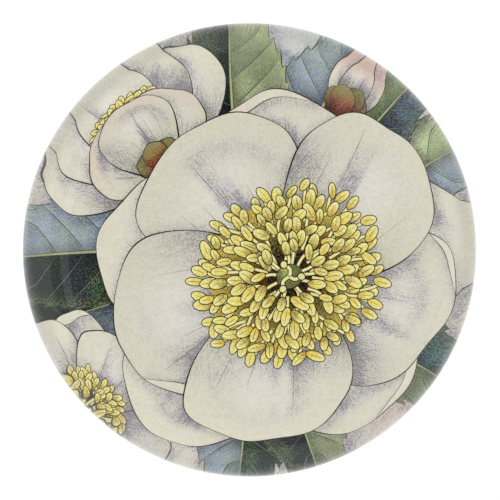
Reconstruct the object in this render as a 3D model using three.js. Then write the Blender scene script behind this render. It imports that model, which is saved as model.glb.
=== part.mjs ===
// A domed glass paperweight with a printed picture under it, in millimetres, +Z up.
// The origin is the centre of the felt's underside, where the paperweight stands.
// A solid clear dome magnifies a round print that is bonded to its flat base.
// A felt disc behind the print protects it and meets the table.
import * as THREE from "three";

// Driving dimensions
const DOME_DIAMETER = 82.5;
const OVERALL_HEIGHT = 30;
const FELT_THICKNESS = 2;
const PAPER_THICKNESS = 0.3;

// The dome's profile: an edge bevel, a short upright wall, a round shoulder and a spherical cap
const EDGE_BEVEL = 0.8;
const WALL_TOP_ABOVE_BASE = 4;
const SHOULDER_RADIUS = 9;

// Each layer under the glass is cut a little smaller than the one above it
const PAPER_INSET = 0.15;
const FELT_INSET = 0.9;
const FELT_EDGE_ROUND = 0.6;

// How finely round forms are faceted
const SIDES = 96;
const ROUND_STEPS = 3;
const SHOULDER_STEPS = 8;
const CAP_STEPS = 16;

const domeRadius = DOME_DIAMETER / 2;
const flatRadius = domeRadius - EDGE_BEVEL;
const paperBottom = FELT_THICKNESS;
const glassBottom = paperBottom + PAPER_THICKNESS;

// A round solid turned about +Z from a profile of [radius, height] points, bottom to top.
function turned(name, profile, material) {
  const outline = profile.map(([radius, height]) => new THREE.Vector2(radius, height));
  const geometry = new THREE.LatheGeometry(outline, SIDES);
  geometry.rotateX(Math.PI / 2);
  const mesh = new THREE.Mesh(geometry, material);
  mesh.name = name;
  return mesh;
}

// Points of an arc from one angle to another, in degrees above the horizontal, without its first point.
function arc(centreRadius, centreHeight, radius, fromAngle, toAngle, steps) {
  return Array.from({ length: steps }, (_, i) => {
    const angle = THREE.MathUtils.degToRad(fromAngle + ((toAngle - fromAngle) * (i + 1)) / steps);
    return [centreRadius + radius * Math.cos(angle), centreHeight + radius * Math.sin(angle)];
  });
}

// The solid glass: flat polished base, small bevel, upright wall, round shoulder, spherical cap.
function glassDome() {
  const shoulderAxis = domeRadius - SHOULDER_RADIUS;
  const shoulderHeight = glassBottom + WALL_TOP_ABOVE_BASE;
  const rise = OVERALL_HEIGHT - shoulderHeight;
  // The shoulder's circle touches the cap's sphere from inside, and the sphere passes through the top.
  const capRadius =
    (shoulderAxis ** 2 + rise ** 2 - SHOULDER_RADIUS ** 2) / (2 * (rise - SHOULDER_RADIUS));
  const capCentre = OVERALL_HEIGHT - capRadius;
  const meeting = THREE.MathUtils.radToDeg(Math.atan2(shoulderHeight - capCentre, shoulderAxis));
  const cap = arc(0, capCentre, capRadius, meeting, 90, CAP_STEPS).slice(0, -1);
  const profile = [
    [0, glassBottom],
    [flatRadius, glassBottom],
    [domeRadius, glassBottom + EDGE_BEVEL],
    [domeRadius, shoulderHeight],
    ...arc(shoulderAxis, shoulderHeight, SHOULDER_RADIUS, 0, meeting, SHOULDER_STEPS),
    ...cap,
    [0, OVERALL_HEIGHT],
  ];
  const glass = new THREE.MeshStandardMaterial({
    color: 0xf2f6f3,
    roughness: 0.02,
    metalness: 0,
    transparent: true,
    opacity: 0.35,
  });
  return turned("glass_dome", profile, glass);
}

// The picture's paper, bonded face up to the glass.
function printedPaper() {
  const radius = flatRadius - PAPER_INSET;
  const paper = new THREE.MeshStandardMaterial({ color: 0xd8d3c2, roughness: 0.8, metalness: 0 });
  const profile = [
    [0, paperBottom],
    [radius, paperBottom],
    [radius, glassBottom],
    [0, glassBottom],
  ];
  return turned("printed_paper", profile, paper);
}

// The felt disc that the paperweight stands on, with a rounded lower edge.
function feltBase() {
  const radius = flatRadius - FELT_INSET;
  const felt = new THREE.MeshStandardMaterial({ color: 0x24382f, roughness: 1, metalness: 0 });
  const profile = [
    [0, 0],
    [radius - FELT_EDGE_ROUND, 0],
    ...arc(radius - FELT_EDGE_ROUND, FELT_EDGE_ROUND, FELT_EDGE_ROUND, -90, 0, ROUND_STEPS),
    [radius, paperBottom],
    [0, paperBottom],
  ];
  return turned("felt_base", profile, felt);
}

const paperweight = new THREE.Group();
paperweight.name = "domed_paperweight";
paperweight.add(glassDome(), printedPaper(), feltBase());

export default paperweight;
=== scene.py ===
# Looks for a domed glass paperweight: the glass, the picture printed under it, and the felt it stands on.
# The picture is a generic flower study in the manner of old hand-tinted botanical plates.
# It is drawn in millimetres on the round sheet, +X to the right and +Y to the top, and cut into one mesh.
import math
from collections import namedtuple

import bpy
import numpy as np
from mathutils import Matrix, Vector
from mathutils.geometry import delaunay_2d_cdt
from mathutils.kdtree import KDTree


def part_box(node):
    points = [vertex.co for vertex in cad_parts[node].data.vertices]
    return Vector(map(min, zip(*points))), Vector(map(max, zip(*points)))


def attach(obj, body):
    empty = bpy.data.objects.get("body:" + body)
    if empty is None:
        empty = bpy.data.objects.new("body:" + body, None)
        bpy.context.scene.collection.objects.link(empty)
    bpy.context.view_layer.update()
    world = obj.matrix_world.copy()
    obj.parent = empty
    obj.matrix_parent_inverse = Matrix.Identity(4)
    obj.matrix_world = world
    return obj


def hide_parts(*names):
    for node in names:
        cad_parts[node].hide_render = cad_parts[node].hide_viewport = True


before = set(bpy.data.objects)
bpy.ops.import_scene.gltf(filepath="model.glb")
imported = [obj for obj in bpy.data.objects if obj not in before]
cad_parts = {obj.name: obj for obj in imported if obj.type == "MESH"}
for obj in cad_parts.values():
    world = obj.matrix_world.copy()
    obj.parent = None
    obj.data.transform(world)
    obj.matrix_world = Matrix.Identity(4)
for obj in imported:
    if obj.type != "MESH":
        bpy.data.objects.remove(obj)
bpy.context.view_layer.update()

MM = 0.001

# The solids in model.glb, in millimetres
glass_low, glass_high = (np.array(corner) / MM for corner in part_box("glass_dome"))
paper_low, paper_high = (np.array(corner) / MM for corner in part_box("printed_paper"))
_, felt_high = (np.array(corner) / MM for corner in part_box("felt_base"))
DOME_RADIUS = glass_high[0]
DOME_TOP = glass_high[2]
GLASS_BASE = glass_low[2]
PAPER_RADIUS = paper_high[0]
FELT_RADIUS = felt_high[0]
FELT_TOP = felt_high[2]

# The dome's profile, as the solid has it, with small fillets at its bevel
EDGE_BEVEL = 0.8
BEVEL_FILLET = 0.12
WALL_TOP_ABOVE_BASE = 4.0
SHOULDER_RADIUS = 9.0

# The glue wets the glass, so the print's face lies this far inside the glass's own flat face
GLUE_WETTING = 0.02

# The felt: its round lower edge, how far its side draws in at shares of its height, and the shears' bites
FELT_EDGE_ROUND = 0.6
FELT_SIDE = (0.0, 0.55), (0.02, 0.8), (0.1, 1.0)
FELT_BITE = 0.16
FELT_WAVES = (5, 9), (11, 17), (23, 31), (47, 61)

# How finely the round forms are cut
DOME_SIDES = 256
SHEET_SIDES = 256
FELT_SIDES = 240
SHOULDER_STEPS = 26
CAP_STEPS = 60
BASE_RINGS = 0.5, 0.9, 0.98
WALL_RINGS = 1.4, 2.4, 3.4

# Pen lines, from the finest point up, and how the hand's pressure sways along them
POINT = 0.02
BLUNT_POINT = 0.03
HAIRLINE = 0.07
FOLD_LINE = 0.09
FINE_LINE = 0.12
ANTHER_LINE = 0.15
PEN_LINE = 0.155
BOLD_LINE = 0.23
PEN_SWAY = 0.35
PEN_SWAY_LENGTH = 2.6

# Pale threads between two ink lines: the width of the ink, then of the thread
FILAMENT_WIDTHS = 0.62, 0.4
STYLE_WIDTHS = 0.78, 0.48
RIB_WIDTHS = 0.8, 0.54

# Petals, in a grid where their length and half width are 1. A turned lip is counted in the edge's points.
SIDE_POINTS = 16
TIP_POINTS = 41
CUP_SIZE = 0.46, 0.9
CUP_FADES = 0.24, 0.1
HEART_PLACE = 0.64
HEART_SIZE = 0.24, 0.55
LIP_STARTS = 12, 26
LIP_LENGTHS = 16, 24
LIP_DEPTHS = 1.2, 2.2

# An open blossom's two rows: petals' length and half width as shares of its reach, and headings as drawn
BACK_ROW = 1.0, 0.39, (14, 92, 163, 232, 304)
FRONT_ROW = 0.92, 0.42, (-24, 126, 50, 198, 268)

# Stamens, as multiples of the anthers' size, and the shares of the boss that the bed and the rings fill
ANTHER_LENGTHS = 1.7, 2.3
ANTHER_WIDTHS = 0.9, 1.15
RING_SPACING = 1.8
STAMEN_SPACING = 1.55
FILAMENT_LENGTH = 2.6
BED_SHARE = 0.86
INNER_RING = 0.2
OUTER_RINGS = 0.78
STIGMA_INK = 1.34, 1.24
STIGMA_FACE = 1.02, 0.92

# Leaves: teeth and side veins on each side, how deep the teeth bite, and how the veins lean and bow
TEETH = 14
VEINS = 8
TOOTH_DEPTH = 0.09
VEIN_SLOPE = 0.22
VEIN_BOW = 1.2

# The soft shadow that a petal or leaf casts on what lies behind it
SHADOW_SHIFT = np.array([0.35, -0.45])
SHADOW_REACH = 1.3
SHADOW_DEPTH = 0.45
SHADOW_SEARCH = 4

# The sheet's mesh, whose grid has rows that share of its spacing apart
MESH_SPACING = 0.75
ROW_SHARE = 0.866
MESH_CLEARANCE = 0.28
SAME_POINT = 1e-4
ON_THE_RIM = 1e-3
MAP_FILL = 0.998

# The numbers at each corner of the mesh: the wash's colour, then tone, hatch and ink, grit, and the grain
WASH = slice(0, 3)
TONE = 3
MARKS = slice(3, 6)
GRIT = 6
GRAIN = slice(7, 10)


def srgb(red, green, blue):
    """A colour given in 0 to 255 display steps, as linear light."""
    display = np.array([red, green, blue]) / 255
    return np.where(display <= 0.04045, display / 12.92, ((display + 0.055) / 1.055) ** 2.4)


# The printer's inks and washes
PAPER = srgb(220, 216, 199)
PETAL = srgb(214, 208, 191)
PETAL_HEART = srgb(221, 216, 207)
PETAL_GREY = srgb(205, 200, 184)
PETAL_THROAT = srgb(190, 192, 150)
PETAL_BLUSH = srgb(212, 174, 166)
INK = srgb(38, 33, 28)
BOSS_INK = srgb(50, 42, 10)
SOFT_INK = srgb(104, 98, 102)
PENCIL = srgb(172, 172, 218)
PENCIL_DOT = srgb(128, 124, 146)
POLLEN = srgb(229, 214, 122)
POLLEN_PALE = srgb(229, 220, 158)
POLLEN_DEEP = srgb(224, 180, 64)
BOSS_SHADE = srgb(66, 52, 24)
BOSS_BED = srgb(180, 160, 78)
PISTIL = srgb(160, 168, 92)
LEAF_DARK = srgb(19, 35, 36)
LEAF_DEEP = srgb(5, 19, 23)
LEAF_SLATE = srgb(78, 98, 102)
LEAF_BLUE = srgb(156, 168, 179)
LEAF_SAGE = srgb(138, 155, 100)
LEAF_PALE = srgb(188, 197, 150)
LEAF_RIB = srgb(170, 172, 120)
LEAF_VEIN = srgb(112, 126, 104)
BARK = srgb(92, 58, 42)
BARK_PALE = srgb(156, 112, 78)
SCALE = srgb(140, 76, 52)
BACKDROP = srgb(220, 213, 201)
BACKDROP_ROSE = srgb(224, 202, 189)
BACKDROP_BLUE = srgb(192, 196, 199)
AGED = srgb(222, 204, 140)
COOL = srgb(190, 200, 218)

# The felt, the floor and the glass
FELT_DEEP = srgb(20, 38, 31)
FELT_FIBRE = srgb(52, 80, 66)
FELT_FLECK = srgb(96, 120, 102)
FLOOR_DULL = srgb(253, 253, 252)
FLOOR_CLEAN = srgb(254, 254, 253)
GLASS_CLEAR = 0.985, 0.995, 0.99
GLASS_SHADE = 0.97, 0.98, 0.975

# The print's noises: scale a millimetre, detail, and roughness or how freely the green leaves the red
STIPPLE = 4.2, 2.0, 0.7
WAVER = 0.45, 1.0
BREAKS = 1.0, 2.0, 0.6
CLOUD = 0.22, 2.0, 0.5
GRANULES = 3.4, 1.0
MOTTLE = 0.9, 3.0, 0.6
CHILL = 1.7, 2.0, 0.6
WEAR = 5.0, 2.0, 0.6
LEAF_SPECKS = 0.8, 2.0, 0.45
LEAF_BLOTCHES = 0.24, 4.0, 1.0
FLECKS = 4.6, 1.0, 0.45
DARK_FLECKS = 3.9, 1.0, 1.0

# The crayon's strokes, the weights of stone, stroke and breaks in its texture, and how strongly it draws
STROKE_PITCH = 0.42
STROKE_SWING = 2.5
STONE_WEIGHT = 0.6
STROKE_WEIGHT = 0.28
BREAK_WEIGHT = 0.22
PENCIL_STRENGTH = 0.46
DOT_STRENGTH = 0.66

# The leaves' hatching, and the painted shade at the sheet's margin, which grows between two radii from
# nothing to its depth
HATCH_LINES = 6
HATCH_STRENGTH = 0.45
PAINTED_MARGIN_SHADE = 33.5, 37.5, 0.0, 0.26

# The felt's fibres: the layers' headings, how far they wander, and their stretch along and across
FIBRE_TURNS = 12, 74, 133
FIBRE_WANDER = 2.6, 2.6, 2.6
FIBRE_STRETCH = 0.8, 4.6, 2.0

# The studio, in metres and watts. The strips give the faint upright reflection at the left.
CAMERA_DISTANCE = 1.0
FRAME_PIXELS = 500
DISC_PIXELS = 453.6
FRAME_SHIFT = 0.001, -0.0005
FLOOR_HALF = 2.6
OVERHEAD_PLACE = -0.3, 0.4, 3.5
OVERHEAD_SIZE = 2.8
OVERHEAD_POWER = 145
STRIP_PLACE = -1.6, 0.0, 0.23
STRIP_WIDTH = 1.5
STRIPS = {"side_strip": (0.13, 0.36), "side_strip_core": (0.06, 0.16)}

# The sky's brightness falls between two heights on the unit sphere
SKY_FALL = 0.05, 0.6, 0.8, 0.1


# Plane geometry
def unit(degrees):
    """The direction at that angle."""
    turn = math.radians(degrees)
    return np.array([math.cos(turn), math.sin(turn)])


def sheet_circle(radius):
    """Points round the sheet."""
    return np.array([unit(360 * index / SHEET_SIDES) for index in range(SHEET_SIDES)]) * radius


def rise(low, high, values):
    """A smooth rise from 0 at low to 1 at high."""
    part = np.clip((values - low) / (high - low), 0, 1)
    return part * part * (3 - 2 * part)


def curve_through(points, steps=10):
    """A smooth open curve through a few given points."""
    points = np.array(points, float)
    held = np.vstack([2 * points[0] - points[1], points, 2 * points[-1] - points[-2]])
    part = np.linspace(0, 1, steps, endpoint=False)[:, None]
    spans = [
        b + part * ((c - a) + part * ((2 * a - 5 * b + 4 * c - d) + part * (3 * b - a - 3 * c + d))) / 2
        for a, b, c, d in zip(held, held[1:], held[2:], held[3:])
    ]
    return np.vstack([*spans, points[-1]])


def ribbon(path, widths):
    """The outline of a line of ink along a path, of one width or of a width a point."""
    ahead = np.gradient(path, axis=0)
    ahead /= np.linalg.norm(ahead, axis=1)[:, None]
    half = np.column_stack([-ahead[:, 1], ahead[:, 0]]) * np.broadcast_to(widths, len(path))[:, None] / 2
    return np.vstack([path + half, (path - half)[::-1]])


def inside(points, outline):
    """Which points lie inside a closed outline."""
    x, y = points[:, :1], points[:, 1:]
    ax, ay = outline.T
    bx, by = np.roll(outline, -1, axis=0).T
    crosses = (ay > y) != (by > y)
    with np.errstate(divide="ignore", invalid="ignore"):
        reach = ax + (y - ay) * (bx - ax) / (by - ay)
    return (crosses & (x < reach)).sum(axis=1) % 2 == 1


def between(points, outline):
    """Which points lie in the outline's bounding box."""
    low, high = outline.min(axis=0), outline.max(axis=0)
    return ((points >= low) & (points <= high)).all(axis=1)


def distances(points, places):
    """How far each point is from the nearest of the places."""
    tree = KDTree(len(places))
    for index, place in enumerate(places):
        tree.insert((*place, 0.0), index)
    tree.balance()
    return np.array([tree.find((*point, 0.0))[2] for point in points])


class Blade:
    """A petal's or leaf's own grid: along runs from 0 at its base to 1 at its tip, across from -1 to 1."""

    def __init__(self, base, heading, length, half_width, bend=0.0, squash=None, centre=(0, 0)):
        squash = np.eye(2) if squash is None else squash
        centre = np.array(centre, float)
        ahead = unit(heading)
        side = np.array([-ahead[1], ahead[0]])
        self.base = centre + squash @ (np.array(base, float) - centre)
        self.axes = squash @ np.column_stack([ahead * length, side * half_width])
        self.back = np.linalg.inv(self.axes)
        self.bend = bend
        self.length = length
        self.half_width = half_width

    def place(self, along, across):
        grid = np.stack([along, across + self.bend * np.asarray(along) ** 2])
        return self.base + (self.axes @ grid).T

    def locate(self, points):
        along, across = self.back @ (points - self.base).T
        return along, across - self.bend * along**2

    def grain(self, along, across, veins=0.0):
        """What the print's strokes follow: millimetres along and across, and the side veins passed."""
        return along * self.length, across * self.half_width, np.full(len(along), veins)


# The drawing: areas from back to front, each with an outline, a look, and how it is lit.
# All its chances are drawn from one seeded generator, so that each run gives the same picture.
random = np.random.default_rng(11)
Area = namedtuple("Area", "outline look solid lifted shaded")


def marks(points, paint, tone=0.0, hatch=0.0, ink=0.0, grit=0.0, grain=None):
    """Ten numbers a point, in the order of WASH, MARKS, GRIT and GRAIN."""
    count = len(points)
    grain = np.zeros((count, 3)) if grain is None else np.column_stack(grain)
    amounts = [np.broadcast_to(value, count)[:, None] for value in (tone, hatch, ink, grit)]
    return np.hstack([np.broadcast_to(paint, (count, 3)), *amounts, grain])


def washed(paint, tone):
    """The look of an even wash."""
    return lambda points: marks(points, paint, tone)


def inked(ink):
    """The look of solid ink."""
    return lambda points: marks(points, ink, ink=1.0)


def blend(first, second, part):
    """Colours between two, with one share a point."""
    return first + (second - first) * np.asarray(part)[:, None]


class Drawing:
    """The picture's areas. A solid one hides what is behind it, and a lifted one shades it."""

    def __init__(self):
        self.areas = []

    def area(self, outline, look, solid=False, lifted=False, shaded=False):
        self.areas.append(Area(np.array(outline, float), look, solid, lifted, shaded))

    def body(self, outline, look):
        """A petal, leaf or the like."""
        self.area(outline, look, solid=True, lifted=True, shaded=True)

    def line(self, path, thin, thick, ink=INK, from_ends=False):
        """A pen line, thin at both ends and thick between them, or the other way round."""
        swell = np.sin(np.pi * np.linspace(0, 1, len(path))) ** 0.6
        widths = thin + (thick - thin) * (1 - swell if from_ends else swell)
        travel = np.concatenate([[0], np.cumsum(np.linalg.norm(np.diff(path, axis=0), axis=1))])
        pressure = 1 + PEN_SWAY * np.sin(travel / PEN_SWAY_LENGTH + path[0].sum())
        self.area(ribbon(path, widths * pressure), inked(ink))

    def thread(self, path, widths, ink, paint, tone, taper=1.0):
        """A pale thread between two ink lines."""
        outer, inner = widths
        self.area(ribbon(path, outer * taper), inked(ink))
        self.area(ribbon(path, inner * taper), washed(paint, tone))


# Petals
def petal_edge(fullest=0.62, claw=0.3, ruffle=0.022, peak=0.03):
    """A petal's edge from its base round the tip and back, in its blade's grid.

    It is widest at fullest and as wide as claw at its base. ruffle and peak are shares of its size."""
    side = np.linspace(0, 1, SIDE_POINTS, endpoint=False)
    turn = np.radians(np.linspace(90, -90, TIP_POINTS))
    swell = claw + (1 - claw) * np.sin(side * np.pi / 2) ** 1.25
    along = np.concatenate([side * fullest, fullest + (1 - fullest) * np.cos(turn), side[::-1] * fullest])
    across = np.concatenate([swell, np.sin(turn), -swell[::-1]])
    travel = np.linspace(0, 1, len(along))
    wave = sum(
        random.uniform(0.5, 1) * np.sin(2 * np.pi * (waves * travel + random.random()))
        for waves in (2.3, 3.7, 5.9)
    )
    tip = np.exp(-(((travel - 0.5) / 0.045) ** 2))
    swing = ruffle * wave * np.sin(np.pi * travel) ** 0.7 + peak * tip
    pivot = fullest * 0.7
    return pivot + (along - pivot) * (1 + swing), across * (1 + swing)


def pencil_weight(tone):
    """How heavily the shading is laid on: part of it grows late with the tone, and part of it early."""
    late = rise(0.0, 1.1, tone)
    early = 1 - np.exp(-1.2 * tone)
    return 0.42 * late + 0.4 * early


def crease(away, sharp, soft):
    """A shade that starts sharply on one side of its line and fades softly on the other."""
    return np.exp(-((away / np.where(away < 0, sharp, soft)) ** 2))


def cup_shade(along, across, reach, turn):
    """A crescent inside a petal's edge, to one side of its tip, where the petal cups upwards."""
    beyond = np.hypot((along - 0.5) / CUP_SIZE[0], across / CUP_SIZE[1]) - reach
    around = np.arctan2(across, 2 * (along - 0.5))
    return crease(beyond, *CUP_FADES) * rise(0.1, 0.95, np.cos(around - turn))


Fold = namedtuple("Fold", "slant sharp side depth stop")


def petal_folds():
    """Two folds that fan out from a petal's throat."""
    return [
        Fold(
            slant=random.uniform(-0.75, 0.75),
            sharp=random.uniform(0.02, 0.06),
            side=random.choice([-1, 1]),
            depth=random.uniform(0.4, 0.9),
            stop=random.uniform(0.75, 1.05),
        )
        for _ in range(2)
    ]


def fold_shade(fold, along, across):
    """The shade on one side of a fold, which sharpens and fades towards its stop."""
    run = rise(fold.stop, fold.stop - 0.5, along)
    soft = fold.sharp * (1.5 + 6 * np.clip(fold.stop - along, 0, 1))
    return fold.depth * run * crease(fold.side * (across - fold.slant * along), fold.sharp, soft)


def petal_look(blade, folds, throat=1.0, blush=0.0):
    """Ivory with soft pencil shading: in the throat, along the folds, down one side and where it cups."""
    dark_side = random.choice([-1, 1])
    side_depth = random.uniform(0.2, 0.8)
    throat_depth = random.uniform(0.15, 0.85)
    throat_reach = 0.56 + 0.36 * throat_depth
    throat_turn = random.uniform(-0.25, 0.25)
    cup_reach = random.uniform(0.68, 0.82)
    cup_turn = -dark_side * random.uniform(0.2, 1.1)
    cup_depth = random.uniform(0.1, 0.65)
    wash = PETAL + (PETAL_GREY - PETAL) * random.uniform(0, 1)

    def look(points):
        along, across = blade.locate(points)
        within = rise(throat_reach, throat_reach - 0.35, along + throat_turn * across)
        tone = throat * throat_depth * within
        for fold in folds:
            tone = tone + fold_shade(fold, along, across)
        tone = tone + side_depth * rise(0.15, 0.95, across * dark_side) * rise(0.98, 0.4, along)
        tone = tone + cup_depth * cup_shade(along, across, cup_reach, cup_turn)
        heart = np.exp(-(((along - HEART_PLACE) / HEART_SIZE[0]) ** 2) - (across / HEART_SIZE[1]) ** 2)
        paint = blend(wash, PETAL_HEART, 0.8 * heart)
        paint = blend(paint, PETAL_THROAT, 0.6 * throat * rise(0.5, 0.3, along))
        paint = blend(paint, PETAL_BLUSH, blush * rise(0.5, 1.0, along))
        return marks(points, paint, pencil_weight(tone), grain=blade.grain(along, across))

    return look


def turned_lip(drawing, edge, blade, start, stop, depth):
    """A stretch of the petal's edge folded back over its face."""
    outer = edge[start:stop]
    part = np.linspace(0, 1, len(outer))
    inward = blade.place(0.5, 0.0) - outer
    inward /= np.linalg.norm(inward, axis=1)[:, None]
    inner = outer + inward * (depth * np.sin(np.pi * part) ** 0.8)[:, None]

    def look(points):
        return marks(points, PETAL, 0.06, grain=blade.grain(*blade.locate(points)))

    drawing.area(np.vstack([outer, inner[::-1]]), look, lifted=True)
    drawing.line(inner, HAIRLINE, FINE_LINE)


def petal(drawing, blade, lip=False, edge_style=None, **look_style):
    """A shaded petal with a fold line, fine veins, perhaps a turned lip, and an ink edge."""
    edge = blade.place(*petal_edge(**(edge_style or {})))
    folds = petal_folds()
    drawing.body(edge, petal_look(blade, folds, **look_style))
    along = np.linspace(0.3, 0.85 * folds[0].stop, 16)
    drawing.line(blade.place(along, folds[0].slant * along), POINT, FOLD_LINE, SOFT_INK)
    for across in np.linspace(-0.5, 0.5, 5):
        along = np.linspace(random.uniform(0.2, 0.3), random.uniform(0.42, 0.7), 8)
        vein = blade.place(along, (across + random.uniform(-0.05, 0.05)) * (0.5 + along))
        drawing.line(vein, POINT, HAIRLINE, SOFT_INK)
    if lip:
        start = random.integers(*LIP_STARTS)
        stop = start + random.integers(*LIP_LENGTHS)
        turned_lip(drawing, edge, blade, start, stop, random.uniform(*LIP_DEPTHS))
    drawing.line(edge, PEN_LINE, BOLD_LINE, from_ends=True)


# Stamens and pistil
def ellipse(centre, heading, length, width, sides=12):
    """A closed oval."""
    ahead = unit(heading)
    turn = np.linspace(0, 2 * np.pi, sides, endpoint=False)
    side = np.array([-ahead[1], ahead[0]])
    return centre + np.outer(np.cos(turn), ahead) * length / 2 + np.outer(np.sin(turn), side) * width / 2


def anther(drawing, centre, heading, size):
    """A two-lobed pollen sac with an ink outline, darker at its root."""
    length, width = size * random.uniform(*ANTHER_LENGTHS), size * random.uniform(*ANTHER_WIDTHS)
    ahead = unit(heading)
    ink = ellipse(centre, heading, length + 2 * ANTHER_LINE, width + 2 * ANTHER_LINE)
    drawing.area(ink, inked(BOSS_INK))
    deep = random.uniform(0.0, 0.8)
    grey = random.uniform(0.05, 0.45)

    def look(points):
        travel = (points - centre) @ ahead / length
        paint = blend(POLLEN_PALE, POLLEN, rise(0.5, 0.0, travel))
        paint = blend(paint, POLLEN_DEEP, deep * rise(0.1, -0.5, travel))
        return marks(points, paint, 0.06 + grey * rise(0.35, -0.45, travel), grit=1.0)

    drawing.area(ellipse(centre, heading, length, width), look)
    furrow = centre + np.outer(np.linspace(-0.3, 0.36, 5), ahead) * length
    drawing.line(furrow, BLUNT_POINT, HAIRLINE, BOSS_INK)


def filament(drawing, root, tip):
    """A stamen's stalk, bent a little."""
    middle = (root + tip) / 2 + random.uniform(-0.5, 0.5) * unit(random.uniform(0, 360))
    drawing.thread(curve_through([root, middle, tip], 4), FILAMENT_WIDTHS, BOSS_INK, POLLEN_PALE, 0.1)


def stamen_bed(drawing, centre, radius, squash):
    """The shade from which the stamens stand, deepest in the middle."""
    turn = np.linspace(0, 360, 72, endpoint=False)
    wobble = 1 + 0.03 * np.sin(np.radians(turn * 7)) + 0.02 * np.sin(np.radians(turn * 12 + 40))
    bed = centre + np.array([squash @ (unit(a) * radius * BED_SHARE * w) for a, w in zip(turn, wobble)])

    def look(points):
        far = np.linalg.norm((points - centre) @ np.linalg.inv(squash).T, axis=1) / radius
        tone = 0.8 * rise(0.95, 0.2, far)
        return marks(points, blend(BOSS_SHADE, BOSS_BED, rise(0.1, 0.8, far)), tone, grit=1.0)

    drawing.area(bed, look, solid=True, lifted=True)


def stamens(drawing, centre, radius, squash, size=1.3):
    """A dome of stamens seen from above: the outer ones lie under the inner ones."""
    centre = np.array(centre, float)
    stamen_bed(drawing, centre, radius, squash)
    rings = round(radius / (RING_SPACING * size))
    for ring in range(rings, 0, -1):
        ring_radius = radius * (INNER_RING + OUTER_RINGS * ring / rings)
        count = int(2 * np.pi * ring_radius / (STAMEN_SPACING * size))
        first = random.uniform(0, 360)
        for index in range(count):
            angle = first + 360 * (index + random.uniform(-0.3, 0.3)) / count
            reach = ring_radius * random.uniform(0.92, 1.06)
            tip = centre + squash @ (unit(angle) * reach)
            away = unit(angle + random.uniform(-8, 8))
            root = centre + squash @ (away * (reach - FILAMENT_LENGTH * size))
            filament(drawing, root, tip)
            heading = math.degrees(math.atan2(*(tip - root)[::-1])) + random.uniform(-42, 42)
            anther(drawing, tip, heading, size * random.uniform(0.85, 1.1))


def pistil(drawing, centre, radius, squash):
    """A small round ovary from which three curved styles spread, each with a round stigma."""
    centre = np.array(centre, float)
    turn = np.linspace(0, 360, 40, endpoint=False)
    ovary = centre + np.array([squash @ (unit(angle) * radius * 0.7) for angle in turn])

    def look(points):
        far = np.linalg.norm(points - centre - radius * np.array([-0.15, 0.2]), axis=1) / radius
        return marks(points, PISTIL, 0.1 + 0.9 * rise(0.15, 0.75, far), grit=1.0)

    drawing.body(ovary, look)
    drawing.line(np.vstack([ovary, ovary[:1]]), FINE_LINE, PEN_LINE)
    for angle in (100, 215, 335):
        angle += random.uniform(-14, 14)
        reach = radius * random.uniform(0.62, 0.78)
        tip = centre + squash @ (unit(angle + 20) * reach)
        middle = centre + squash @ (unit(angle - 6) * reach * 0.55)
        path = curve_through([centre + 0.15 * unit(angle - 30), middle, tip], 6)
        drawing.thread(path, STYLE_WIDTHS, INK, POLLEN_PALE, 0.1)
        drawing.area(ellipse(tip, angle, *STIGMA_INK, 14), inked(INK))
        drawing.area(ellipse(tip, angle, *STIGMA_FACE, 14), washed(POLLEN_PALE, 0.15))


# Blossoms
def squashed(facing, share):
    """Foreshortening: lengths in the facing direction shrink to that share."""
    ahead = unit(facing)
    return np.eye(2) - (1 - share) * np.outer(ahead, ahead)


def open_blossom(drawing, centre, reach, facing, share, boss, size=1.3):
    """A full flower seen from in front: a back row and a front row of petals round the stamens."""
    squash = squashed(facing, share)
    for row, (length_share, width_share, headings) in enumerate((BACK_ROW, FRONT_ROW)):
        for index, heading in enumerate(headings):
            heading += random.uniform(-5, 5)
            length = reach * length_share * random.uniform(0.94, 1.04)
            half_width = reach * width_share * random.uniform(0.92, 1.06)
            blade = Blade(centre, heading, length, half_width, random.uniform(-0.22, 0.22), squash, centre)
            style = {"fullest": random.uniform(0.58, 0.68)}
            petal(drawing, blade, lip=(index + row) % 3 == 1, edge_style=style)
    stamens(drawing, centre, boss, squash, size)
    pistil(drawing, centre, boss * 0.2, squash)


def side_blossom(drawing, base, reach, facing):
    """A half-open flower seen from the side: back petals, stamens, near petals, then its green cup."""
    for turn in (-52, 54, -26, 30, 2):
        blade = Blade(base, facing + turn, reach, reach * 0.34, -turn / 400)
        petal(drawing, blade, edge_style={"claw": 0.4}, throat=0.9)
    middle = np.array(base) + unit(facing) * reach * 0.5
    stamens(drawing, middle, reach * 0.3, squashed(facing, 0.45), size=1.0)
    for turn in (-40, 42, 0):
        blade = Blade(base, facing + turn, reach * 0.6, reach * 0.32, -turn / 300)
        petal(drawing, blade, edge_style={"claw": 0.5}, throat=0.3, blush=0.25)
    for turn in (-50, 50, 0):
        sepal(drawing, Blade(base, facing + turn, reach * 0.2, reach * 0.1))


def sepal(drawing, blade):
    """A small rust-brown scale with a green tip."""
    edge = blade.place(*petal_edge(fullest=0.5, claw=0.6, ruffle=0.01, peak=0.05))

    def look(points):
        along, across = blade.locate(points)
        tone = 0.6 * rise(0.6, 0.0, along) + 0.4 * rise(0.2, 1.0, across)
        paint = blend(SCALE, LEAF_SAGE, 0.6 * rise(0.2, 0.9, along))
        return marks(points, paint, np.clip(tone, 0, 1), grit=0.3)

    drawing.body(edge, look)
    drawing.line(edge, HAIRLINE, FINE_LINE)


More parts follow.
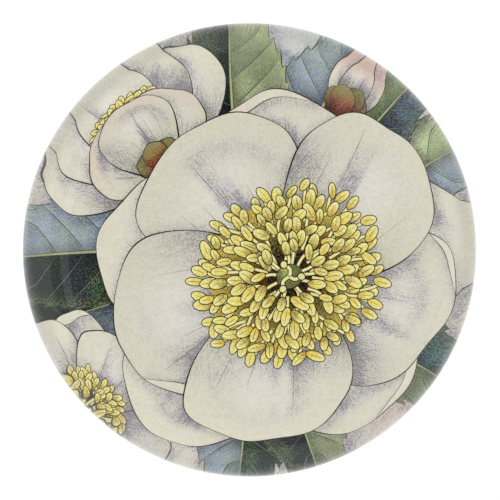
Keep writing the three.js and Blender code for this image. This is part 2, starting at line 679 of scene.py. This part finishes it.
def bud(drawing, base, heading, length):
    """A closed bud: furled petals with a pink tip, held in overlapping scales."""
    furled = {"fullest": 0.5, "claw": 0.5, "ruffle": 0.01, "peak": 0.08}
    for turn, share in ((-7, 0.42), (8, 0.4), (0, 0.3)):
        blade = Blade(base, heading + turn, length, length * share * 0.72, turn / 60)
        petal(drawing, blade, edge_style=furled, throat=0.6, blush=0.8)
    for turn, size in ((-34, 0.42), (34, 0.42), (-12, 0.5), (14, 0.46)):
        sepal(drawing, Blade(base, heading + turn, length * size, length * 0.17, 0.1))


# Leaves and twigs
def leaf_half_width(along):
    return np.sin(np.pi * np.clip(along, 0, 1) ** 0.82) ** 0.8


def vein_lead(across):
    """How far a side vein has run towards the tip where it is that far across."""
    return VEIN_SLOPE * across**VEIN_BOW


def leaf_side(teeth):
    """One side of a toothed leaf from base to tip, in its blade's grid."""
    along = np.linspace(0, 1, teeth * 6 + 1)
    saw = (along * teeth) % 1
    bite = TOOTH_DEPTH * (saw**1.6 - 0.35) * rise(0.02, 0.2, along) * rise(1.0, 0.9, along)
    return along + 0.4 * bite, leaf_half_width(along) * (1 + bite)


def leaf_look(blade, upper, lower):
    """A wash for each half, deeper in patches and by the midrib, and sage in patches and at the margin."""
    first, second = random.uniform(0, 2 * np.pi, 2)

    def look(points):
        along, across = blade.locate(points)
        part = np.abs(across)
        margin = part / np.maximum(leaf_half_width(along), 0.05)
        waves = 0.3 * np.sin(7 * along + 2 * across + first), 0.2 * np.sin(13 * along - 5 * across + second)
        patches = 0.5 + waves[0] + waves[1]
        paint = np.where((across > 0)[:, None], upper, lower)
        paint = blend(paint, LEAF_DEEP, 0.5 * rise(0.35, 0.9, patches))
        paint = blend(paint, LEAF_SAGE, 0.2 * rise(0.4, 0.1, patches))
        paint = blend(paint, LEAF_DEEP, 0.45 * rise(0.3, 0.0, part))
        paint = blend(paint, LEAF_SAGE, 0.25 * rise(0.7, 1.0, margin))
        grain = blade.grain(along, across, (along - vein_lead(part)) * VEINS)
        return marks(points, paint, 0.12, hatch=1.0, grit=0.5, grain=grain)

    return look


def leaf_veins(drawing, blade, heading):
    """Side veins in pairs, each an ink line with a pale one beside it."""
    for number in range(1, VEINS):
        root = number / VEINS
        reach = leaf_half_width(min(root + 0.14, 1.0)) * 0.93
        across = np.linspace(0.02, max(reach, 0.05), 9)
        for side in (-1, 1):
            vein = blade.place(root + vein_lead(across), side * across)
            drawing.line(vein, BLUNT_POINT, FINE_LINE, INK)
            drawing.line(vein + unit(heading) * 0.12, POINT, HAIRLINE, LEAF_VEIN)


def leaf(drawing, heading, start, length, half_width, upper, lower, bend):
    """A toothed leaf with a pale midrib, side veins and engraver's hatching between them.

    It starts that far from the middle of the sheet, and its two halves have their own washes."""
    blade = Blade(unit(heading) * start, heading, length, half_width, bend)
    left, right = leaf_side(TEETH), leaf_side(TEETH - 1)
    edge = np.vstack([blade.place(left[0], left[1]), blade.place(right[0], -right[1])[::-1]])
    drawing.body(edge, leaf_look(blade, upper, lower))
    leaf_veins(drawing, blade, heading)
    spine = blade.place(np.linspace(0, 0.97, 30), np.zeros(30))
    drawing.thread(spine, RIB_WIDTHS, INK, LEAF_RIB, 0.3, taper=np.linspace(1, 0.25, 30))
    drawing.line(edge, FINE_LINE, PEN_LINE)


def twig(drawing, points, thick, thin):
    """A woody stem with ink edges and short marks along it."""
    path = curve_through(points, 12)
    widths = np.linspace(thick, thin, len(path)) * (1 + 0.06 * np.sin(np.arange(len(path)) * 1.3))
    body = ribbon(path, widths)

    def look(points):
        span = np.linalg.norm(points[:, None] - path[None], axis=2)
        nearest = span.argmin(axis=1)
        offset = span.min(axis=1) / (widths[nearest] / 2)
        grain = (nearest * 1.0, offset, np.zeros(len(points)))
        paint = blend(BARK_PALE, BARK, rise(0.0, 1.0, offset))
        return marks(points, paint, 0.5 * offset, grit=1.0, grain=grain)

    drawing.body(body, look)
    drawing.line(body[: len(path)], FINE_LINE, PEN_LINE)
    drawing.line(body[len(path):], FINE_LINE, BOLD_LINE)
    for place in range(6, len(path) - 4, 5):
        mark = path[place : place + 4] + random.uniform(-0.3, 0.3, 2)
        drawing.line(mark, BLUNT_POINT, HAIRLINE)


def ground(drawing):
    """A loose wash behind the spray, grey, rose and blue by turns, with slanting pencil strokes."""
    def look(points):
        x, y = points.T
        rose = rise(0.1, 0.9, np.sin(x / 9 + 1.4) * np.sin(y / 11 + 0.5))
        blue = rise(0.0, 0.8, np.sin(x / 13 - y / 17 + 2.2))
        paint = blend(blend(BACKDROP, BACKDROP_BLUE, 0.7 * blue), BACKDROP_ROSE, 0.8 * rose)
        tone = 0.22 + 0.2 * np.sin(x / 4.1 + y / 7.3) * np.sin(y / 5.2 - x / 9.1)
        grain = ((x + y) * 0.7, (y - x) * 0.7, np.zeros(len(points)))
        return marks(points, paint, tone, grain=grain)

    drawing.area(sheet_circle(PAPER_RADIUS + 1), look, shaded=True)


def compose():
    """The whole picture, back to front.

    A leaf is given by its heading, start, length and half width, and by the washes of its two halves."""
    drawing = Drawing()
    ground(drawing)
    twig(drawing, [(-44, -30), (-30, -19), (-16, -8), (-10, 6), (-17, 18)], 2.4, 1.5)
    leaf(drawing, 202, 8, 38, 9, LEAF_BLUE, LEAF_DARK, bend=-0.3)
    leaf(drawing, 64, 8, 36, 9, LEAF_BLUE, LEAF_SLATE, bend=-0.2)
    leaf(drawing, 270, 6, 38, 10, LEAF_DARK, LEAF_BLUE, bend=-0.25)
    leaf(drawing, 324, 8, 36, 10, LEAF_SLATE, LEAF_PALE, bend=0.2)
    leaf(drawing, 180, 10, 42, 9, LEAF_DARK, LEAF_BLUE, bend=0.3)
    leaf(drawing, 286, 8, 36, 8, LEAF_PALE, LEAF_DARK, bend=0.15)
    open_blossom(drawing, (-27, -26), 18, 215, 0.85, 7, size=0.95)
    leaf(drawing, 98, 8, 38, 9, LEAF_DARK, LEAF_PALE, bend=-0.35)
    leaf(drawing, 24, 8, 38, 9, LEAF_PALE, LEAF_BLUE, bend=0.25)
    twig(drawing, [(4, 4), (8, 14), (13, 20), (16, 24)], 1.5, 1.1)
    leaf(drawing, 44, 8, 38, 6.5, LEAF_SAGE, LEAF_SLATE, bend=0.3)
    bud(drawing, (14, 21), 60, 12)
    side_blossom(drawing, (-13, 13), 21, 130)
    open_blossom(drawing, (6, -4), 32.5, 120, 0.9, 14.5)
    return drawing


# Cutting the drawing into one mesh
def seen_edges(areas):
    """The outline points and edges that no solid area in front hides, as (points, pairs)."""
    points, pairs = [], []
    count = 0
    for level, area in enumerate(areas):
        outline = area.outline
        hidden = np.hypot(*outline.T) > PAPER_RADIUS
        for front in areas[level + 1:]:
            near = np.flatnonzero(between(outline, front.outline) & ~hidden) if front.solid else ()
            if len(near):
                hidden[near] = inside(outline[near], front.outline)
        kept = np.flatnonzero(~(hidden & np.roll(hidden, -1)))
        ends, numbers = np.unique([kept, (kept + 1) % len(outline)], return_inverse=True)
        points.append(outline[ends])
        pairs += (numbers.reshape(2, -1).T + count).tolist()
        count += len(ends)
    return np.vstack(points), pairs


def grid_points(taken):
    """A hexagonal grid of points over the sheet, clear of the points already taken."""
    rows = int(PAPER_RADIUS / (MESH_SPACING * ROW_SHARE))
    grid = np.array([
        (x, row * MESH_SPACING * ROW_SHARE)
        for row in range(-rows, rows + 1)
        for x in np.arange(-PAPER_RADIUS + (row % 2) * MESH_SPACING / 2, PAPER_RADIUS, MESH_SPACING)
    ])
    grid = grid[np.hypot(*grid.T) < PAPER_RADIUS - MESH_CLEARANCE]
    return grid[distances(grid, taken) > MESH_CLEARANCE]


def triangulate(areas):
    """The sheet's corners and triangles. No triangle crosses an outline that shows."""
    drawn, pairs = seen_edges(areas)
    pairs += [(len(drawn) + i, len(drawn) + (i + 1) % SHEET_SIDES) for i in range(SHEET_SIDES)]
    fixed = np.vstack([drawn, sheet_circle(PAPER_RADIUS)])
    every = np.vstack([fixed, grid_points(fixed)])
    places, _, faces, *_ = delaunay_2d_cdt([Vector(p) for p in every], pairs, [], 0, SAME_POINT, False)
    places = np.array(places)
    faces = np.array(faces)
    middle = places[faces].mean(axis=1)
    wedge = 2 * np.pi / SHEET_SIDES
    turn = np.arctan2(middle[:, 1], middle[:, 0]) % wedge - wedge / 2
    within = np.hypot(*middle.T) * np.cos(turn) < PAPER_RADIUS * math.cos(wedge / 2)
    return places, faces[within]


def topmost(areas, middle):
    """The number of the frontmost area over each point."""
    owner = np.full(len(middle), -1)
    for level in range(len(areas) - 1, -1, -1):
        outline = areas[level].outline
        near = np.flatnonzero(between(middle, outline) & (owner < 0))
        if len(near):
            owner[near[inside(middle[near], outline)]] = level
    return owner


def cast_shadow(areas, level, points):
    """The tone that lifted areas in front add to the points of an area behind them."""
    low, high = points.min(axis=0) - SHADOW_SEARCH, points.max(axis=0) + SHADOW_SEARCH
    edges = np.vstack([np.empty((0, 2)), *[area.outline for area in areas[level + 1:] if area.lifted]])
    edges = edges[((edges > low) & (edges < high)).all(axis=1)]
    if not len(edges):
        return np.zeros(len(points))
    away = distances(points - SHADOW_SHIFT, edges)
    return SHADOW_DEPTH * np.exp(-((away / SHADOW_REACH) ** 2))


def corner_marks(areas, places, faces):
    """The ten numbers of marks() at each triangle's three corners."""
    owner = topmost(areas, places[faces].mean(axis=1))
    found = np.zeros((len(faces), 3, GRAIN.stop))
    for level in np.unique(owner[owner >= 0]):
        rows = owner == level
        points = places[faces[rows]].reshape(-1, 2)
        values = areas[level].look(points)
        if areas[level].shaded:
            values[:, TONE] = np.clip(values[:, TONE] + cast_shadow(areas, level, points), 0, 1)
        found[rows] = values.reshape(-1, 3, GRAIN.stop)
    return found.reshape(-1, GRAIN.stop)


def sheet_object(name, drawing, bottom, top):
    """A thin disc of paper whose upper face carries the drawing as colour attributes."""
    places, faces = triangulate(drawing.areas)
    values = corner_marks(drawing.areas, places, faces)
    used, faces = np.unique(faces, return_inverse=True)
    places = places[used]
    turn = np.arctan2(places[:, 1], places[:, 0])
    rim = np.flatnonzero(np.hypot(*places.T) > PAPER_RADIUS - ON_THE_RIM)
    rim = rim[np.argsort(turn[rim])]
    below = len(places) + np.arange(len(rim))
    corners = np.vstack([
        np.column_stack([places, np.full(len(places), top)]),
        np.column_stack([places[rim], np.full(len(rim), bottom)]),
        [[0, 0, bottom]],
    ])
    wall = np.column_stack([rim, below, np.roll(below, -1), np.roll(rim, -1)]).tolist()
    under = [(after, before, len(corners) - 1) for before, after in zip(below, np.roll(below, -1))]
    mesh = bpy.data.meshes.new(name)
    mesh.from_pydata(corners * MM, [], [*faces.reshape(-1, 3).tolist(), *wall, *under])
    plain = marks(np.zeros((len(wall) * 4 + len(under) * 3, 2)), PAPER)
    values = np.vstack([values, plain])
    opaque = np.ones((len(values), 1))
    write_corners(mesh, "paint", "FLOAT_COLOR", "color", np.hstack([values[:, WASH], opaque]))
    write_corners(mesh, "marks", "FLOAT_VECTOR", "vector", values[:, MARKS])
    write_corners(mesh, "grit", "FLOAT", "value", values[:, GRIT])
    write_corners(mesh, "grain", "FLOAT_VECTOR", "vector", values[:, GRAIN])
    flat_map(mesh)
    return link(name, mesh)


def write_corners(mesh, name, kind, field, values):
    attribute = mesh.attributes.new(name, kind, "CORNER")
    attribute.data.foreach_set(field, np.ascontiguousarray(values, np.float32).ravel())


def flat_map(mesh):
    """A map that looks straight down on the sheet and nearly fills the square."""
    layer = mesh.uv_layers.new(name="OFBake")
    spots = np.array([mesh.vertices[loop.vertex_index].co[:2] for loop in mesh.loops]) / MM
    layer.data.foreach_set("uv", (0.5 + spots / (2 * PAPER_RADIUS) * MAP_FILL).astype(np.float32).ravel())


def link(name, data):
    """A new object in the scene."""
    made = bpy.data.objects.new(name, data)
    bpy.context.scene.collection.objects.link(made)
    return made


# Turned forms
def arc(centre, radius, start, stop, steps):
    """Profile points on an arc, with angles in degrees above the horizontal."""
    return [np.array(centre) + unit(start + (stop - start) * i / steps) * radius for i in range(steps + 1)]


def lathe(name, profile, sides):
    """A closed smooth round mesh from a profile of (radius, height) that starts and ends on the axis."""
    turn = [unit(360 * index / sides) for index in range(sides)]
    rings = profile[1:-1]
    corners = [(0, 0, profile[0][1])]
    corners += [(radius * c, radius * s, height) for radius, height in rings for c, s in turn]
    corners.append((0, 0, profile[-1][1]))
    last = len(corners) - 1
    faces = []
    for i in range(sides):
        j = (i + 1) % sides
        faces.append((0, 1 + j, 1 + i))
        for ring in range(len(rings) - 1):
            low, high = 1 + ring * sides, 1 + (ring + 1) * sides
            faces.append((low + i, low + j, high + j, high + i))
        top = 1 + (len(rings) - 1) * sides
        faces.append((top + i, top + j, last))
    mesh = bpy.data.meshes.new(name)
    mesh.from_pydata(np.array(corners) * MM, [], faces)
    mesh.polygons.foreach_set("use_smooth", [True] * len(faces))
    return link(name, mesh)


def dome_profile():
    """Flat base, bevel with small fillets, upright wall, shoulder and spherical cap."""
    axis = DOME_RADIUS - SHOULDER_RADIUS
    shoulder = GLASS_BASE + WALL_TOP_ABOVE_BASE
    climb = DOME_TOP - shoulder
    # The shoulder's circle touches the cap's sphere from inside, and the sphere passes through the top
    cap = (axis**2 + climb**2 - SHOULDER_RADIUS**2) / (2 * (climb - SHOULDER_RADIUS))
    meeting = math.degrees(math.atan2(shoulder - (DOME_TOP - cap), axis))
    flat = DOME_RADIUS - EDGE_BEVEL
    turn = BEVEL_FILLET * math.tan(math.radians(22.5))
    low_fillet = flat - turn, GLASS_BASE + BEVEL_FILLET
    high_fillet = DOME_RADIUS - BEVEL_FILLET, GLASS_BASE + EDGE_BEVEL + turn
    return [
        (0, GLASS_BASE),
        *[(flat * share, GLASS_BASE) for share in BASE_RINGS],
        *arc(low_fillet, BEVEL_FILLET, -90, -45, 4),
        *arc(high_fillet, BEVEL_FILLET, -45, 0, 4),
        *[(DOME_RADIUS, GLASS_BASE + height) for height in WALL_RINGS],
        *arc((axis, shoulder), SHOULDER_RADIUS, 0, meeting, SHOULDER_STEPS),
        *arc((0, DOME_TOP - cap), cap, meeting, 90, CAP_STEPS)[1:-1],
        (0, DOME_TOP),
    ]


def felt_profile():
    """A disc with a soft lower edge."""
    low = FELT_RADIUS - FELT_EDGE_ROUND
    return [
        (0, 0),
        *[(low * share, 0) for share in np.linspace(0.1, 0.96, 10)],
        *arc((low, FELT_EDGE_ROUND), FELT_EDGE_ROUND, -90, 0, 6),
        *[(FELT_RADIUS - inset, FELT_TOP * share) for inset, share in FELT_SIDE],
        (FELT_RADIUS * 0.5, FELT_TOP),
        (0, FELT_TOP),
    ]


def cut_edge(piece, depth):
    """Nibbles at a disc's rim, as shears leave it. The deepest bite is that many millimetres."""
    random = np.random.default_rng(5)
    waves = [(random.integers(low, high), random.uniform(0, 2 * np.pi)) for low, high in FELT_WAVES]
    for vertex in piece.data.vertices:
        turn = math.atan2(vertex.co.y, vertex.co.x)
        bite = sum(0.5 - 0.5 * math.sin(count * turn + first) for count, first in waves) / len(waves)
        reach = rise(0.9, 1.0, math.hypot(vertex.co.x, vertex.co.y) / (FELT_RADIUS * MM))
        vertex.co.xy *= 1 - reach * bite * depth / FELT_RADIUS


# Materials
class Tree:
    """The nodes of a material or a world."""

    def __init__(self, owner):
        self.owner = owner
        owner.use_nodes = True
        self.nodes = owner.node_tree.nodes
        self.links = owner.node_tree.links
        self.nodes.clear()

    def add(self, kind, inputs=None, **settings):
        """Adds a node. inputs maps a socket's name or number to a value or to another node's output."""
        node = self.nodes.new(kind)
        for key, value in settings.items():
            setattr(node, key, value)
        for key, value in (inputs or {}).items():
            if isinstance(value, bpy.types.NodeSocket):
                self.links.new(value, node.inputs[key])
            else:
                node.inputs[key].default_value = value
        return node

    def work(self, operation, *values, clamp=False):
        """A number worked out from others."""
        node = self.add("ShaderNodeMath", dict(enumerate(values)), operation=operation, use_clamp=clamp)
        return node.outputs[0]

    def times(self, first, second, clamp=False):
        return self.work("MULTIPLY", first, second, clamp=clamp)

    def times_plus(self, first, second, added):
        return self.work("MULTIPLY_ADD", first, second, added)

    def mix(self, part, first, second, blend="MIX"):
        """A colour between two."""
        inputs = {0: part, 6: rgba(first), 7: rgba(second)}
        return self.add("ShaderNodeMix", inputs, data_type="RGBA", blend_type=blend).outputs[2]

    def remap(self, value, low, high, new_low=0.0, new_high=1.0):
        """A number moved smoothly from one range to another."""
        inputs = {0: value, 1: low, 2: high, 3: new_low, 4: new_high}
        return self.add("ShaderNodeMapRange", inputs, interpolation_type="SMOOTHSTEP").outputs[0]

    def noise(self, place, scale, detail=2.0, roughness=0.5):
        inputs = {"Vector": place, "Scale": scale, "Detail": detail, "Roughness": roughness}
        return self.add("ShaderNodeTexNoise", inputs).outputs["Fac"]

    def colour_noise(self, place, scale, detail):
        inputs = {"Vector": place, "Scale": scale, "Detail": detail}
        return self.add("ShaderNodeTexNoise", inputs).outputs["Color"]

    def specks(self, place, scale, detail, freedom):
        """Mottled colour. Green with little freedom keeps to red, and the hue runs yellow to violet."""
        noise = self.colour_noise(place, scale, detail)
        red, green, blue = self.add("ShaderNodeSeparateColor", {0: noise}).outputs
        green = self.times_plus(self.work("SUBTRACT", green, red), freedom, red)
        return self.add("ShaderNodeCombineColor", {0: red, 1: green, 2: blue}).outputs[0]

    def vector(self, operation, *values, **settings):
        """A vector worked out from others, as a node."""
        return self.add("ShaderNodeVectorMath", dict(enumerate(values)), operation=operation, **settings)

    def split(self, vector):
        """A vector's three numbers."""
        return self.add("ShaderNodeSeparateXYZ", {0: vector}).outputs

    def millimetres(self):
        """The object's own coordinates in millimetres."""
        place = self.add("ShaderNodeTexCoord").outputs["Object"]
        return self.vector("MULTIPLY", place, (1000, 1000, 1000)).outputs[0]

    def attribute(self, name, output):
        return self.add("ShaderNodeAttribute", attribute_name=name).outputs[output]

    def principled(self, **inputs):
        """The surface of a plain material. An input's name has _ where its socket's name has a blank."""
        sockets = {name.replace("_", " "): value for name, value in inputs.items()}
        return self.finish(self.add("ShaderNodeBsdfPrincipled", sockets).outputs[0])

    def finish(self, surface, output="ShaderNodeOutputMaterial"):
        self.add(output, {"Surface": surface})
        return self.owner


def rgba(colour):
    """A colour as a socket's four numbers, or a socket as it is."""
    return colour if isinstance(colour, bpy.types.NodeSocket) else (*map(float, colour), 1.0)


class Print(Tree):
    """The print's nodes. They read the sheet's attributes and lay the drawing's layers over each other."""

    def __init__(self, name):
        super().__init__(bpy.data.materials.new(name))
        self.place = self.millimetres()
        self.paint = self.attribute("paint", "Color")
        tone, self.hatch, self.ink = self.split(self.attribute("marks", "Vector"))
        self.grit = self.attribute("grit", "Fac")
        self.grain = self.attribute("grain", "Vector")
        _, self.across, self.vein = self.split(self.grain)
        self.stipple = self.noise(self.place, *STIPPLE)
        cloud = self.remap(self.noise(self.place, *CLOUD), 0.25, 0.75, 0.75, 1.25)
        self.uneven = self.times(tone, cloud, clamp=True)
        brightness = self.add("ShaderNodeRGBToBW", {0: self.paint}).outputs[0]
        self.darkness = self.remap(brightness, 0.03, 0.25, 1.0, 0.0)
        self.texture = self.crayon()

    def crayon(self):
        """Lithographer's crayon: wavering strokes down a petal or leaf, broken up by the stone's grain."""
        waver = self.times(self.noise(self.place, *WAVER), STROKE_SWING)
        phase = self.work("ADD", self.work("DIVIDE", self.across, STROKE_PITCH), waver)
        stroke = self.times_plus(self.work("SINE", self.times(phase, 2 * math.pi)), 0.5, 0.5)
        broken = self.noise(self.vector("MULTIPLY", self.grain, (0.5, 2.4, 0)).outputs[0], *BREAKS)
        stone = self.remap(self.stipple, 0.34, 0.66)
        texture = self.times_plus(stone, STONE_WEIGHT, self.times(stroke, STROKE_WEIGHT))
        return self.times_plus(self.remap(broken, 0.35, 0.65), BREAK_WEIGHT, texture)

    def pencil(self):
        """The wash with its shading: an even violet grey, and darker dots where the crayon bites."""
        drawn = self.mix(self.times(self.uneven, PENCIL_STRENGTH), self.paint, PENCIL, "MULTIPLY")
        rough = self.times_plus(self.grit, 0.3, self.texture)
        bitten = self.remap(self.work("ADD", rough, self.uneven), 0.78, 1.6)
        bitten = self.times(bitten, self.remap(self.uneven, 0.0, 0.4, 0.0, DOT_STRENGTH))
        return self.mix(bitten, drawn, PENCIL_DOT, "MULTIPLY")

    def hatched(self, drawn):
        """Leaves: a shade that falls off from each side vein, cut into fine lines, with sage specks."""
        fall = self.work("POWER", self.work("SUBTRACT", 1.0, self.work("FRACT", self.vein)), 1.6)
        line = self.remap(self.work("FRACT", self.times(self.vein, HATCH_LINES)), 0.3, 0.65, 0.55, 1.0)
        hatching = self.times(self.hatch, self.times(fall, line))
        hatching = self.times(hatching, self.remap(self.texture, 0.2, 0.8, 0.55, 1.05), clamp=True)
        drawn = self.mix(self.times(hatching, HATCH_STRENGTH), drawn, LEAF_DEEP)
        speckle = self.times(self.hatch, self.remap(self.stipple, 0.52, 0.74, 0.0, 0.18))
        return self.mix(speckle, drawn, LEAF_SAGE)

    def pigmented(self, drawn):
        """The coarse grain and the blotches of the strong colours, most of all of the dark ones."""
        specks = self.specks(self.place, *LEAF_SPECKS)
        drawn = self.mix(self.times(self.grit, 0.35), drawn, specks, "OVERLAY")
        granules = self.remap(self.noise(self.place, *GRANULES), 0.35, 0.65, 0.02, 0.98)
        drawn = self.mix(self.darkness, drawn, self.specks(self.place, *LEAF_BLOTCHES), "OVERLAY")
        coarse = self.times(self.grit, self.times_plus(self.darkness, 1.7, 0.2))
        return self.mix(self.work("ADD", coarse, 0.06), drawn, granules, "OVERLAY")

    def painted_margin_shade(self, drawn):
        """Painted shade at the margin: it stands for the light that the shoulder of the glass keeps from
        the margin.
        """
        reach = self.vector("LENGTH", self.place).outputs["Value"]
        return self.mix(self.remap(reach, *PAINTED_MARGIN_SHADE), drawn, (0.0, 0.0, 0.0))

    def flecked(self, drawn):
        """Flecks of the printer's colours."""
        speckled = self.times_plus(self.work("MAXIMUM", self.uneven, self.grit), 0.35, 0.32)
        drawn = self.mix(speckled, drawn, self.specks(self.place, *FLECKS), "OVERLAY")
        dark = self.times(self.darkness, 0.8)
        return self.mix(dark, drawn, self.specks(self.place, *DARK_FLECKS), "OVERLAY")

    def mottled(self, drawn):
        """The paper's own mottle, warm with age and cool by turns."""
        warm = self.remap(self.noise(self.place, *MOTTLE), 0.4, 0.75, 0.0, 0.16)
        drawn = self.mix(warm, drawn, AGED, "MULTIPLY")
        cool = self.remap(self.noise(self.place, *CHILL), 0.52, 0.75, 0.0, 0.14)
        return self.mix(cool, drawn, COOL, "MULTIPLY")

    def pen_lines(self, drawn):
        """Ink over all of it, a little worn."""
        worn = self.remap(self.noise(self.place, *WEAR), 0.3, 0.55, 0.75, 1.0)
        return self.mix(self.times(self.ink, worn), drawn, self.paint)


def print_material():
    """Ink, washes and pencil grain on ivory paper, from the sheet's attributes, and a painted shade at its
    margin.
    """
    tree = Print("printed_paper")
    drawn = tree.pigmented(tree.hatched(tree.pencil()))
    drawn = tree.mottled(tree.flecked(tree.painted_margin_shade(drawn)))
    drawn = tree.pen_lines(drawn)
    return tree.principled(Base_Color=drawn, Roughness=0.8, Specular_IOR_Level=0.0)


def glass_material():
    """Clear polished glass. Light passes it unbent on its way to the print."""
    tree = Tree(bpy.data.materials.new("clear_glass"))
    shader = tree.add("ShaderNodeBsdfGlass", {"Color": rgba(GLASS_CLEAR), "Roughness": 0.0, "IOR": 1.5})
    clear = tree.add("ShaderNodeBsdfTransparent", {"Color": rgba(GLASS_SHADE)})
    shadow = tree.add("ShaderNodeLightPath").outputs["Is Shadow Ray"]
    mixed = tree.add("ShaderNodeMixShader", {0: shadow, 1: shader.outputs[0], 2: clear.outputs[0]})
    return tree.finish(mixed.outputs[0])


def felt_fibres(tree, place):
    """Three layers of matted fibres that wander over each other."""
    drift = tree.colour_noise(place, 0.7, 2.0)
    wander = tree.vector("MULTIPLY_ADD", drift, FIBRE_WANDER, place).outputs[0]
    fibres = 0.0
    for turn in FIBRE_TURNS:
        inputs = {"Vector": wander, "Angle": math.radians(turn)}
        laid = tree.add("ShaderNodeVectorRotate", inputs, rotation_type="Z_AXIS").outputs[0]
        strand = tree.noise(tree.vector("MULTIPLY", laid, FIBRE_STRETCH).outputs[0], 1.0, 2.0, 0.55)
        fibres = tree.work("MAXIMUM", fibres, strand)
    return fibres


def felt_material():
    """Dense dark green wool felt, clouded and flecked."""
    tree = Tree(bpy.data.materials.new("green_felt"))
    place = tree.millimetres()
    fibres = felt_fibres(tree, place)
    cloud = tree.noise(place, 0.35, 3.0)
    colour = tree.mix(tree.remap(fibres, 0.45, 0.75), FELT_DEEP, FELT_FIBRE)
    colour = tree.mix(tree.remap(cloud, 0.35, 0.7, 0.0, 0.35), colour, FELT_DEEP)
    colour = tree.mix(tree.remap(tree.noise(place, 5.0), 0.66, 0.78, 0.0, 0.5), colour, FELT_FLECK)
    bump = tree.add("ShaderNodeBump", {"Strength": 0.8, "Distance": 0.00025, "Height": fibres}).outputs[0]
    return tree.principled(
        Base_Color=colour, Roughness=0.95, Sheen_Weight=0.4, Specular_IOR_Level=0.2, Normal=bump)


def floor_material():
    """A plain pale studio surface."""
    tree = Tree(bpy.data.materials.new("pale_floor"))
    tint = tree.mix(tree.noise(tree.millimetres(), 0.01, 2.0), FLOOR_DULL, FLOOR_CLEAN)
    return tree.principled(Base_Color=tint, Roughness=0.7, Specular_IOR_Level=0.1)


# The studio
def camera():
    """Straight above, with a long lens, so that the disc spans as many pixels as in the photograph."""
    lens = bpy.data.cameras.new("camera")
    lens.sensor_width = 36
    frame_width = 2 * DOME_RADIUS * MM * FRAME_PIXELS / DISC_PIXELS
    widest = (GLASS_BASE + WALL_TOP_ABOVE_BASE) * MM
    lens.lens = lens.sensor_width * CAMERA_DISTANCE / frame_width
    lens.shift_x, lens.shift_y = FRAME_SHIFT
    lens.clip_start = 0.01
    lens.clip_end = 20
    made = link("camera", lens)
    made.location = (0, 0, widest + CAMERA_DISTANCE)
    bpy.context.scene.camera = made


def soft_light(name, place, width, height, power, in_reflections):
    """A softbox aimed at the paperweight."""
    light = bpy.data.lights.new(name, "AREA")
    light.shape = "RECTANGLE"
    light.size = width
    light.size_y = height
    light.energy = power
    made = link(name, light)
    made.location = place
    made.rotation_euler = (-Vector(place)).to_track_quat("-Z", "Y").to_euler()
    made.visible_glossy = in_reflections
    made.visible_transmission = in_reflections


def studio_world():
    """Soft light from all round, dim overhead, so that the dome's top stays clear."""
    tree = Tree(bpy.data.worlds.new("studio"))
    height = tree.split(tree.add("ShaderNodeTexCoord").outputs["Generated"])[2]
    sky = tree.add("ShaderNodeBackground", {"Strength": tree.remap(height, *SKY_FALL)})
    bpy.context.scene.world = tree.finish(sky.outputs[0], "ShaderNodeOutputWorld")


def floor():
    corners = [(x * FLOOR_HALF, y * FLOOR_HALF, 0) for x, y in ((-1, -1), (1, -1), (1, 1), (-1, 1))]
    mesh = bpy.data.meshes.new("floor")
    mesh.from_pydata(corners, [], [(0, 1, 2, 3)])
    made = link("floor", mesh)
    made.data.materials.append(floor_material())


def dress(piece, material, node):
    """Gives a piece its material, attaches it to the root body, and hides the solid it stands for."""
    piece.data.materials.append(material)
    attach(piece, "root")
    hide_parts(node)


camera()
studio_world()
soft_light("overhead", OVERHEAD_PLACE, OVERHEAD_SIZE, OVERHEAD_SIZE, OVERHEAD_POWER, False)
for strip, (height, power) in STRIPS.items():
    soft_light(strip, STRIP_PLACE, STRIP_WIDTH, height, power, True)
floor()
dress(lathe("dome", dome_profile(), DOME_SIDES), glass_material(), "glass_dome")
picture = sheet_object("picture", compose(), paper_low[2], paper_high[2] + GLUE_WETTING)
dress(picture, print_material(), "printed_paper")
felt = lathe("felt", felt_profile(), FELT_SIDES)
cut_edge(felt, FELT_BITE)
dress(felt, felt_material(), "felt_base")
bpy.context.scene.view_settings.view_transform = "Standard"
